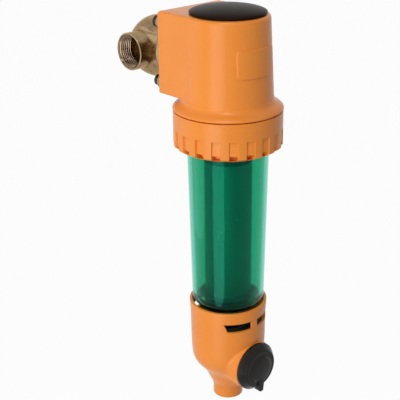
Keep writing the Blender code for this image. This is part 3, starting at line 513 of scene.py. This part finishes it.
def plateGrid():
    # Rings of a rounded rectangle, laid on the head's curved front
    outline = rounded([(sx * plate["wide"] / 2, sz * plate["tall"] / 2, plate["corner"])
                       for sx, sz in ((1, -1), (1, 1), (-1, 1), (-1, -1))], 8)
    spans = []
    for a, b in zip(outline, np.roll(outline, -1, 0)):
        # A straight side gets more points, so that it follows the curve of the head
        count = plate["sidePoints"] if np.linalg.norm(b - a) > 3 else 1
        spans.append(np.linspace(a, b, count, endpoint=False))
    points = np.concatenate(spans)
    points = points[np.argsort(np.arctan2(points[:, 1], points[:, 0]))]
    inner, outer = plate["flatRings"], plate["edgeRings"]
    t = np.linspace(0, math.pi / 2, outer)
    insets = np.concatenate([np.full(inner, plate["edge"]),
                             plate["edge"] * (1 - np.sin(t)), [0, 0]])
    shares = np.concatenate([np.linspace(0, 1, inner + 1)[:inner], np.ones(outer + 2)])
    lifts = np.concatenate([np.full(inner, plate["proud"]),
                            plate["proud"] - plate["edge"] * (1 - np.cos(t)),
                            [-plate["sunk"], -plate["sunk"]]])
    shares[-1] = 0
    size = np.array([plate["wide"], plate["tall"]]) / 2
    flat = points[None] * shares[:, None, None] * (1 - insets[:, None, None] / size)
    x, z = flat[..., 0], flat[..., 1] + plate["middle"]
    wall = head["radius"] + head["draft"] * (head["top"] - z) + lifts[:, None]
    return np.stack([x, -np.sqrt(wall**2 - x**2), z], -1)


plateShape = gridMesh("front_plate", plateGrid(), closeRows=False)
finishPiece(plateShape, finishes["orange"], "head")

# Top cap: a low dome whose rim curls in under it, with a spigot
cap = dict(radius=36.5, rise=7.4, fullness=1.3, edge=1.9, under=1.28, spigot=29.5,
           spigotDeep=4.5, wall=3.0, roof=0.5, base=head["top"] + gap)
t = np.radians(np.linspace(0, 84, 22))
dome = np.stack([cap["radius"] * np.sin(t),
                 cap["base"] + cap["edge"] +
                 (cap["rise"] - cap["edge"]) * np.cos(t)**cap["fullness"]], -1)
t = np.linspace(0.15, math.pi / 2, 8)
curl = np.stack([cap["radius"] - cap["under"] * (1 - np.cos(t)),
                 cap["base"] + cap["edge"] * (1 - np.sin(t))], -1)
rim = rounded([(0, cap["base"], 0), (cap["spigot"] + 1, cap["base"], 0),
               (cap["spigot"], cap["base"], 0.3),
               (cap["spigot"], head["top"] - cap["spigotDeep"], 0.5),
               (cap["spigot"] - cap["wall"], head["top"] - cap["spigotDeep"], 0.5),
               (cap["spigot"] - cap["wall"], cap["base"] + cap["edge"] - cap["roof"], 0.3),
               (0, cap["base"] + cap["edge"] - cap["roof"], 0)])[1:]
capShape = gridMesh("cap_dome", turned(np.vstack([dome, curl, rim]), 144))
finishPiece(capShape, finishes["cap"], "head", ("top_cap",))
print("head and cap made")

# Ring nut: plain band above, ramped grips and pockets below, thread inside
nut = dict(radius=nutRadius, top=-44.2, foot=-81.6, gripTop=-61.4, gripDeep=1.6, gripWide=9.3,
           chamfer=5.4, chamferTall=3.3, count=20, start=-150.9, bore=48.7, hole=40.7, lipTop=-73.7,
           topEdge=0.9, pocketFloor=44.2, pocketFoot=-80.6, pocketTop=-75.2, pocketIn=0.6,
           stepTurn=0.2, stepTall=0.12, gripRows=(-67.0, -72.0))


def nutGrid():
    # The outer radius steps in at each grip and ramps out again; pockets cut it deeper.
    # Offsets are degrees from a grip's start, with a pair at each step and each pocket end
    wide, step = nut["gripWide"], nut["stepTurn"]
    offset = np.array([-step, step, 0.54, 0.66, 1.5, 3.2, 5.0, 6.8, wide - 0.66, wide - 0.54,
                       wide - step, wide + step, 11.6, 13.8, 15.9])
    inset = np.interp(offset, [-step, step, wide - step, wide + step], [0, 1, 0.4, 0])
    pocket = (offset > nut["pocketIn"]) & (offset < wide - nut["pocketIn"])
    turn = np.arange(nut["count"])[:, None] * 360 / nut["count"] + nut["start"]
    angle = np.radians(turn + offset).ravel()
    inset, pocket = np.tile(inset, nut["count"]), np.tile(pocket, nut["count"])
    # Each row is a radius, a height and a kind: 0 plain, up to 1 with grips, 2 with pockets
    r, e = nut["radius"], nut["topEdge"]
    t = np.linspace(0, math.pi / 2, 6)
    outside = [(r - e * (1 - math.sin(a)), nut["top"] - e * (1 - math.cos(a)), 0) for a in t]
    outside += [(r, z, 0) for z in np.linspace(nut["top"] - 3, nut["gripTop"] + 0.25, 5)]
    slope, lean = nut["foot"] + nut["chamferTall"], nut["chamfer"] / nut["chamferTall"]
    outside += [(r, nut["gripTop"] + 0.08, 0), (r, nut["gripTop"] - nut["stepTall"], 1),
                (r, nut["gripTop"] - 0.5, 1), *((r, z, 1) for z in nut["gripRows"]),
                (r, nut["pocketTop"] + nut["stepTall"], 1), (r, nut["pocketTop"], 2)]
    for z in np.linspace(slope, nut["pocketFoot"], 5):
        outside.append((r - (slope - z) * lean, z, 2))
    outside += [(r - (slope - nut["pocketFoot"] + 0.1) * lean, nut["pocketFoot"] - 0.1, 1),
                (r - nut["chamfer"] + 0.35, nut["foot"] + 0.2, 0.8),
                (r - nut["chamfer"] - 0.3, nut["foot"], 0)]
    rows = []
    for radius, height, kind in outside:
        ring = radius - nut["gripDeep"] * inset * min(kind, 1)
        if kind == 2:
            ring = np.where(pocket, np.minimum(ring, nut["pocketFloor"]), ring)
        rows.append((ring, height))
    rows += [(nut["hole"] + 0 * angle, nut["foot"]), (nut["hole"] + 0 * angle, nut["lipTop"]),
             (nut["bore"] + 0 * angle, nut["lipTop"])]
    for z in np.linspace(nut["lipTop"] + 0.5, nut["top"], 90):
        ridge = threadShape(angle, z + 0 * angle, 0.5)
        rows.append((nut["bore"] - (thread["depth"] - thread["play"]) * ridge, z))
    return np.stack([np.stack([ring * np.cos(angle), ring * np.sin(angle),
                               z + 0 * angle], -1) for ring, z in rows])


nutShape = gridMesh("grip_ring", nutGrid(), sharp=30)
finishPiece(nutShape, finishes["orange"], "nut", ("union_nut",))

# Clear bowl with its flange, round foot and spigot
bowl = dict(bore=36.6, outer=40.1, footOuter=36.4, foot=-249.9, footRound=14.0, wall=3.5,
            top=-64.4, flangeFoot=-71.6, spigot=16.6, spigotBore=8.5, spigotFoot=-264.5,
            grooveIn=40.6, grooveOut=44.4, grooveFoot=-66.8)
bowlProfile = rounded([
    (bowl["bore"], bowl["top"], 0.4), (bowl["grooveIn"], bowl["top"], 0.2),
    (bowl["grooveIn"], bowl["grooveFoot"], 0.3), (bowl["grooveOut"], bowl["grooveFoot"], 0.3),
    (bowl["grooveOut"], bowl["top"], 0.2), (flangeRadius, bowl["top"], 0.6),
    (flangeRadius, bowl["flangeFoot"], 0.4), (bowl["outer"], bowl["flangeFoot"], 0.8),
    (bowl["footOuter"], bowl["foot"], bowl["footRound"]),
    (bowl["spigot"], bowl["foot"], 1.0), (bowl["spigot"], bowl["spigotFoot"], 0.6),
    (bowl["spigotBore"], bowl["spigotFoot"], 0.4),
    (bowl["spigotBore"], bowl["foot"] + bowl["wall"], 1.0),
    (bowl["footOuter"] - bowl["wall"], bowl["foot"] + bowl["wall"],
     bowl["footRound"] - bowl["wall"])], 12)
bowlShape = gridMesh("clear_bowl", turned(bowlProfile, 160))
finishPiece(bowlShape, finishes["green"], "bowl", ("filter_bowl",))
print("nut and bowl made")

# Drain cup: funnel shell with air slots, a boss for the knob and a web inside
cup = dict(rim=39.7, top=-246.8, wall=2.7, outlet=15.6, foot=-360.5, funnel=34.7,
           slotTop=-259.0, slotTall=9.4, slotStart=5.0, slotEnd=51.0, slotSlant=6.0, boss=25.8,
           bossFace=38.6, bossEdge=1.0, flare=3.0, webTop=-275.5, webTall=8.0, hub=15.9,
           hubWall=3.0, armThick=3.0, armEnd=2.6, wayRim=11.8, step=0.6, stepAt=-348.6)
# Shares of the way in from rim to outlet and of the way down from stem to funnel foot
cupOutline = throughPoints([
    (cup["rim"] - share * (cup["rim"] - cup["outlet"] - cup["step"]), stemZ - down * cup["funnel"])
    for share, down in ((0.0378, -1.4765), (0.0588, -0.6176), (0.0798, -0.2353),
                        (0.1261, -0.0147), (0.2689, 0.1765), (0.5294, 0.3824), (0.6975, 0.5588),
                        (0.8109, 0.7353), (0.9454, 0.9118), (1.0, 1.0))], 6)
outletLine = rounded([
    (0, cup["stepAt"], 0), (cup["outlet"] + cup["step"], cup["stepAt"] + 0.3, 0.3),
    (cup["outlet"], cup["stepAt"] - 0.2, 0.3), (cup["outlet"], cup["foot"], 0.6),
    (cup["outlet"] - cup["wall"], cup["foot"], 0.6)], 4)[1:]
innerLine = offsetLine(cupOutline, -cup["wall"])[::-1]
rimLine = rounded([(0, cup["top"], 0), (cup["rim"] - cup["wall"], cup["top"], 0.8),
                   (cup["rim"], cup["top"], 0.8), (cup["rim"] - 0.9, cup["top"] - 12, 0)], 5)[1:-1]
cupProfile = np.vstack([rimLine, cupOutline, outletLine, innerLine])
cupShape = gridMesh("drain_funnel", turned(cupProfile, 200))


def slotGrid(centre, way):
    # A window between two angles, narrower at its foot
    share = np.linspace(0, 1, 20)
    rows = []
    for z, slant in ((cup["slotTop"] - cup["slotTall"], cup["slotSlant"]), (cup["slotTop"], 0)):
        across = cup["slotStart"] + (cup["slotEnd"] - slant - cup["slotStart"]) * share
        a = np.radians(centre + way * np.concatenate([across, across[::-1]]))
        r = np.concatenate([np.full(20, cup["rim"] + 3), np.full(20, cup["rim"] - 8)])
        rows.append(np.stack([r * np.cos(a), r * np.sin(a), z + 0 * a], -1))
    return np.stack(rows)


slots = [gridMesh("slot", slotGrid(centre, way), closeRows=False)
         for centre in (-90, 90) for way in (1, -1)]
carve(cupShape, slots + [rod("gland way", cup["wayRim"], 15, 45, onStem, towardsFront)])
finishPiece(cupShape, finishes["orange"], "bowl", ("drain_cup",))


def bossGrid():
    # A ring on the stem's axis whose wall flares out to meet the funnel all round
    outer = np.array(sorted(cupOutline.tolist(), key=lambda p: p[1]))
    angle = np.linspace(0, math.tau, 128, endpoint=False)

    def depth(radius):
        x, z = radius * np.sin(angle), radius * np.cos(angle) + stemZ
        around = np.interp(z, outer[:, 1], outer[:, 0])
        return np.sqrt(np.maximum(around**2 - x**2, 1))

    face, edge = cup["bossFace"], cup["bossEdge"]
    flare = np.clip(0.7 * (face - edge - depth(cup["boss"] + 0 * angle)), 0.1, cup["flare"])
    flat = np.ones_like(angle)
    rows = [(cup["wayRim"] * flat, depth(cup["wayRim"] * flat) - 1.2),
            (cup["wayRim"] * flat, face * flat)]
    t = np.linspace(0, math.pi / 2, 6)
    rows += [((cup["boss"] - edge * (1 - math.sin(a))) * flat,
              (face - edge * (1 - math.cos(a))) * flat) for a in t]
    for a in np.linspace(0, math.pi / 2, 10):
        radius = cup["boss"] + flare * (1 - math.cos(a))
        rows.append((radius, depth(radius) + flare * (1 - math.sin(a)) - 0.05))
    radius = cup["boss"] + flare
    rows.append((radius, depth(radius) - 1.0))
    r, z = (np.array([row[i] for row in rows]) for i in (0, 1))
    return np.stack([r * np.sin(angle), r * np.cos(angle), z], -1)


bossShape = gridMesh("knob_boss", bossGrid(), onStem, towardsFront)
finishPiece(bossShape, finishes["orange"], "bowl")
# The web hub and arms below take the dark grey finish instead of the cup's orange: painted shade,
# so the interior seen through the slots reads dark
hubOuter, webFoot = cup["hub"] + cup["hubWall"], cup["webTop"] - cup["webTall"]
webRing = gridMesh("web_hub", turned(rounded([
    (cup["hub"], cup["webTop"], 0.5), (hubOuter, cup["webTop"], 0.5), (hubOuter, webFoot, 0.5),
    (cup["hub"], webFoot, 0.5)]), 96))
finishPiece(webRing, finishes["inside"], "bowl")
for k in range(4):
    a = math.radians(45 + 90 * k)
    turn = np.array([[0, 0, 1], [-math.sin(a), math.cos(a), 0], [math.cos(a), math.sin(a), 0]])
    section = roundedRectangle(cup["webTall"] - 0.8, cup["armThick"], 0.7)
    arm = gridMesh(f"web_arm_{k + 1}", slab(section, cup["hub"] + 1, cup["rim"] - cup["armEnd"],
                                            0.3),
                   (0, filterY, cup["webTop"] - cup["webTall"] / 2), turn, closeRows=False)
    finishPiece(arm, finishes["inside"], "bowl")
print("drain cup made")

# Knob: skirt, cone, crown and a pointer tab
knob = dict(radius=25.4, skirt=2.6, cone=5.0, front=21.2, crown=4.4, tabReach=26.2, tabFoot=4.6,
            tabHead=9.0, tabRise=3.8, socket=10.5, bore=5.3, disc=12.8, ringDeep=1.0,
            ringRise=0.9, ringFade=3.0, ringEnd=1.6)
back = cup["bossFace"] + gap
coneFoot, coneTop = back + knob["skirt"], back + knob["skirt"] + knob["cone"]
# A domed crown with a hollow ring round its middle disc: 1 in the ring, 0 outside it
r = np.linspace(knob["front"] - 0.05, 0, 60)
ring = (np.clip((r - knob["disc"]) / knob["ringRise"], 0, 1) *
        np.clip((knob["front"] - knob["ringEnd"] - r) / knob["ringFade"], 0, 1))
crown = np.stack([r, coneTop + knob["crown"] * np.sqrt(1 - (r / knob["front"])**2)
                  - knob["ringDeep"] * ring], -1)
shell = rounded([(0, back, 0), (knob["radius"], back, 0.8), (knob["radius"], coneFoot, 0.7),
                 (knob["front"], coneTop, 1.2), (knob["front"] * 0.9, coneTop + 1.4, 0)], 5)[:-1]
knobShape = gridMesh("knob_body", turned(np.vstack([shell, crown]), 144), onStem, towardsFront)
carve(knobShape, [rod("bore", knob["bore"], back - 1, cup["bossFace"] + knob["socket"], onStem,
                      towardsFront, 48)])
finishPiece(knobShape, finishes["knob"], "knob", ("drain_knob",))
tip = (knob["tabFoot"] / 2, -knob["tabReach"], 1.0)
tail = (knob["tabHead"] / 2, -knob["front"] * 0.5, 0.6)
tabLine = rounded([(sx * across, up, corner) for sx, (across, up, corner) in
                   ((-1, tip), (1, tip), (1, tail), (-1, tail))], 6)
tabShape = gridMesh("knob_pointer", slab(tabLine, coneFoot, coneTop + knob["tabRise"], 0.7, 5),
                    onStem, towardsFront, closeRows=False)
finishPiece(tabShape, finishes["knob"], "knob")

# Pipe connection: ball with two ports, neck, lugged flange and real threads in the ports
pipe = dict(dome=31.0, port=18.5, reach=40.0, flare=3.4, neck=29.3, flange=36.6, lug=7.5,
            thick=7.0, threadRoot=16.63, threadCrest=15.2, threadPitch=2.309, threadDeep=15.5,
            threadFull=1.15, threadSteep=2.6, threadFade=1.6, lugBlend=3.0, sleeve=17.1,
            way=13.7, wayEnd=14.1)
flangeBack = faceY - gap
root = math.sqrt(pipe["dome"]**2 - (pipe["port"] + pipe["flare"])**2)
start = math.atan2(root, pipe["port"] + pipe["flare"])
a = np.linspace(start, -start, 40)
ballLine = pipe["dome"] * np.stack([np.cos(a), np.sin(a)], -1)
portLine = rounded([(0, pipe["reach"], 0), (pipe["port"], pipe["reach"], 0.6),
                    (pipe["port"], root + 1.5, 3.0),
                    (pipe["port"] + pipe["flare"] + 0.6, root - 0.9, 0)], 8)[:-1]
ballProfile = np.vstack([portLine, ballLine, (portLine * [1, -1])[::-1]])
ballShape = gridMesh("pipe_ball", turned(ballProfile, 128), onPipe, towardsOutlet)


def flangeLine(count=240):
    # A round plate with a lug at each screw: the farther of the two in each direction
    angle = np.linspace(0, math.tau, count, endpoint=False)
    reach = screwAcross * math.sqrt(2)
    off = np.mod(angle, math.pi / 2) - math.pi / 4
    side = np.abs(reach * np.sin(off))
    lug = reach * np.cos(off) + np.sqrt(np.maximum(pipe["lug"]**2 - side**2, 0))
    lug = np.where(side < pipe["lug"], lug, 0)
    radius = softMax(pipe["flange"] + 0 * angle, lug, pipe["lugBlend"])
    return np.stack([radius * np.cos(angle), radius * np.sin(angle)], -1)


neckShape = gridMesh("neck", turned(rounded([
    (0, -3, 0), (pipe["neck"] - 3, -3, 2), (pipe["neck"], 6, 0), (pipe["neck"], flangeBack - 1, 0),
    (0, flangeBack - 1, 0)], 4), 96), onPipe, towardsFront)
flangeShape = gridMesh("flange", slab(flangeLine(), flangeBack - pipe["thick"], flangeBack, 0.4, 3,
                                      1.0), (0, 0, screwRise), towardsFront, closeRows=False)
carve(ballShape, [neckShape, flangeShape], "UNION")
bores = []
for side in (1, -1):
    end = side * pipe["reach"]
    seat = side * (pipe["reach"] - pipe["threadDeep"])
    bores.append(rod("port bore", pipe["sleeve"], min(end + side, seat), max(end + side, seat),
                     onPipe, towardsOutlet))
    low, high = sorted((seat + side, side * pipe["wayEnd"]))
    bores.append(rod("way", pipe["way"], low, high, onPipe, towardsOutlet))
carve(ballShape, bores)
finishPiece(ballShape, finishes["cast"], "head", ("connection_body",))


def sleeveGrid(side):
    # The port's inner thread: a V that climbs one pitch per turn, faded out at the mouth
    angle = np.linspace(0, math.tau, 96, endpoint=False)
    end, seat = pipe["reach"] - 0.7, pipe["reach"] - pipe["threadDeep"] + 0.05
    z = np.linspace(end, seat, 110)[:, None]
    turn = np.mod(side * z / pipe["threadPitch"] - angle / math.tau, 1.0)
    ridge = np.clip(pipe["threadFull"] - np.abs(turn - 0.5) * pipe["threadSteep"], 0, 1)
    ridge = ridge * np.clip((end - z) / pipe["threadFade"], 0, 1)
    radius = pipe["threadRoot"] - (pipe["threadRoot"] - pipe["threadCrest"]) * ridge
    wall = np.full((1, 96), pipe["sleeve"] + 0.15)
    radius = np.concatenate([wall, radius, wall])
    z = np.concatenate([[[end + 0.35]], z, [[seat]]]) + 0 * angle
    return np.stack([radius * np.cos(angle), radius * np.sin(angle), side * z], -1)


for side, name in ((-1, "inlet_thread"), (1, "outlet_thread")):
    sleeve = gridMesh(name, sleeveGrid(side), onPipe, towardsOutlet, sharp=55)
    finishPiece(sleeve, finishes["turned"], "head")

# Socket head screws
screw = dict(head=5.5, tall=6.0, edge=0.6, shank=3.0, socket=2.9, socketDeep=3.2, bite=14.0)
for i, (x, z) in enumerate(screwPlaces):
    base = flangeBack - pipe["thick"] - gap
    top = base - screw["tall"]
    a = np.linspace(0, math.tau, 72, endpoint=False)
    hexagon = screw["socket"] * math.cos(math.pi / 6) / np.cos(
        np.mod(a, math.pi / 3) - math.pi / 6)
    t = np.linspace(0, math.pi / 2, 5)
    rows = [(0 * a, top + screw["socketDeep"] + 0.8), (hexagon, top + screw["socketDeep"]),
            (hexagon, top + 0.3), (hexagon + 0.35, top)]
    rows += [(screw["head"] - screw["edge"] * (1 - math.sin(b)) + 0 * a,
              top + screw["edge"] * (1 - math.cos(b))) for b in t]
    rows += [(screw["head"] + 0 * a, base), (screw["shank"] + 0 * a, base),
             (screw["shank"] + 0 * a, faceY + screw["bite"]), (0 * a, faceY + screw["bite"])]
    grid = np.stack([np.stack([r * np.cos(a), r * np.sin(a), h + 0 * a], -1) for r, h in rows])
    screwShape = gridMesh(f"socket_screw_{i + 1}", grid, (x, 0, z), towardsFront)
    finishPiece(screwShape, finishes["screw"], "head", (f"flange_screw_{i + 1}",))
print("pipe connection made")

# Mesh sleeve over its cage
meshRadius, meshWall = nodeRadius("filter_mesh"), 0.6
meshLow, meshHigh = (corner[2] for corner in nodeBox("filter_mesh"))
sleeve = gridMesh("mesh_sleeve", turned(rounded([
    (meshRadius, meshLow, 0.1), (meshRadius, meshHigh, 0.1),
    (meshRadius - meshWall, meshHigh, 0.1), (meshRadius - meshWall, meshLow, 0.1)], 2), 128))
finishPiece(sleeve, finishes["mesh"], "head", ("filter_mesh",))

# Inner pieces keep their CAD shape, shaded smooth
for node, name, finish, body, slot in (
        ("swirl_guide", "swirl_vanes", "inside", "head", "grey_plastic"),
        ("cartridge_cage", "cage", "inside", "head", "grey_plastic"),
        ("crossover_tube", "crossover", "inside", "head", "grey_plastic"),
        ("slide_ring", "nut_slide", "white", "bowl", "white_plastic"),
        ("valve_body", "ball_housing", "inside", "bowl", "black_plastic"),
        ("valve_nozzle", "nozzle", "inside", "bowl", "black_plastic"),
        ("stem_gland", "gland", "inside", "bowl", "black_plastic"),
        ("valve_ball", "ball", "polished", "ball", "polished_metal"),
        ("valve_stem", "stem", "polished", "knob", "polished_metal"),
        ("seat_upper", "upper_seat", "white", "bowl", "white_plastic"),
        ("seat_lower", "lower_seat", "white", "bowl", "white_plastic"),
        ("flange_seal", "flange_ring", "rubber", "head", "rubber"),
        ("crossover_seal_pipe", "tube_ring_back", "rubber", "head", "rubber"),
        ("crossover_seal_hub", "tube_ring_front", "rubber", "head", "rubber"),
        ("bowl_seal", "bowl_ring", "rubber", "bowl", "rubber"),
        ("stem_seal", "stem_ring", "rubber", "knob", "rubber")):
    finishPiece(softCopy(node, name), finishes[finish], body, (node,))
print("inner pieces made")


# Camera, floor and studio light
view = dict(place=(-0.6177, -0.7372, 0.2296), tilt=67.47, turn=-44.02, lens=87.37,
            shift=-0.0703)
camera = bpy.data.objects.new("camera", bpy.data.cameras.new("camera"))
camera.data.lens = view["lens"]
camera.data.shift_x = view["shift"]
camera.data.clip_start = 0.05
camera.location = view["place"]
camera.rotation_euler = (math.radians(view["tilt"]), 0, math.radians(view["turn"]))
bpy.context.scene.collection.objects.link(camera)
bpy.context.scene.camera = camera


def seenRays(r):
    # 1 where the camera, a reflection or clear plastic looks, 0 for light on the object
    direct, glossy, through = (r.add("LightPath", output=f"Is {kind} Ray")
                               for kind in ("Camera", "Glossy", "Transmission"))
    return direct.maths("MAXIMUM", glossy).maths("MAXIMUM", through)


studio = dict(floorDrop=0.75, floorKeep=0.96, world=0.24, key=7.2, fill=0.3, top=8.0, side=2.6)
floorZ = cadBox[0][2] - studio["floorDrop"]
floor = bpy.data.objects.new("floor", bpy.data.meshes.new("floor"))
floor.data.from_pydata([(x, y, floorZ) for x, y in ((-9, -9), (9, -9), (9, 9), (-9, 9))], [],
                       [(0, 1, 2, 3)])
bpy.context.scene.collection.objects.link(floor)
r = Recipe("pale floor")
white = r.add("Emission", None, {"Color": (1, 1, 1), "Strength": 1.0})
r.surface({"Base Color": (0.86, 0.86, 0.86), "Roughness": 0.9})
floor.data.materials.append(r.swap(seenRays(r) * studio["floorKeep"], white))

world = bpy.data.worlds.new("studio")
bpy.context.scene.world = world
world.use_nodes = True
r = Recipe("studio", world.node_tree)
world.node_tree.nodes.clear()
seen = seenRays(r)
sky = r.add("Background", None, {"Color": (1, 1, 1), "Strength": 1.0})
room = r.add("Background", None, {"Color": (1, 1, 1), "Strength": studio["world"]})
mixed = r.add("MixShader", None, {0: seen, 1: room, 2: sky})
out = r.tree.nodes.new("ShaderNodeOutputWorld")
r.tree.links.new(mixed.socket, out.inputs[0])


def softLamp(name, place, aim, wide, tall, power):
    light = bpy.data.lights.new(name, "AREA")
    light.shape = "RECTANGLE"
    light.size, light.size_y, light.energy = wide, tall, power
    lamp = bpy.data.objects.new(name, light)
    lamp.location = place
    direction = np.array(aim) - np.array(place)
    flat = math.hypot(direction[0], direction[1])
    lamp.rotation_euler = (math.atan2(flat, -direction[2]), 0,
                           math.atan2(direction[1], direction[0]) - math.pi / 2)
    bpy.context.scene.collection.objects.link(lamp)


middle = (0, filterY / 1000, -0.15)
softLamp("key", (-0.97, -0.4, -0.2), middle, 0.6, 1.4, studio["key"])
softLamp("fill", (0.9, -1.5, 0.5), middle, 0.8, 1.2, studio["fill"])
softLamp("top", (-0.6, -0.6, 1.25), middle, 0.45, 0.45, studio["top"])
softLamp("side", (-0.76, 0.69, -0.05), middle, 0.9, 1.5, studio["side"])
bpy.context.scene.view_settings.view_transform = "Standard"

print("scene ready")
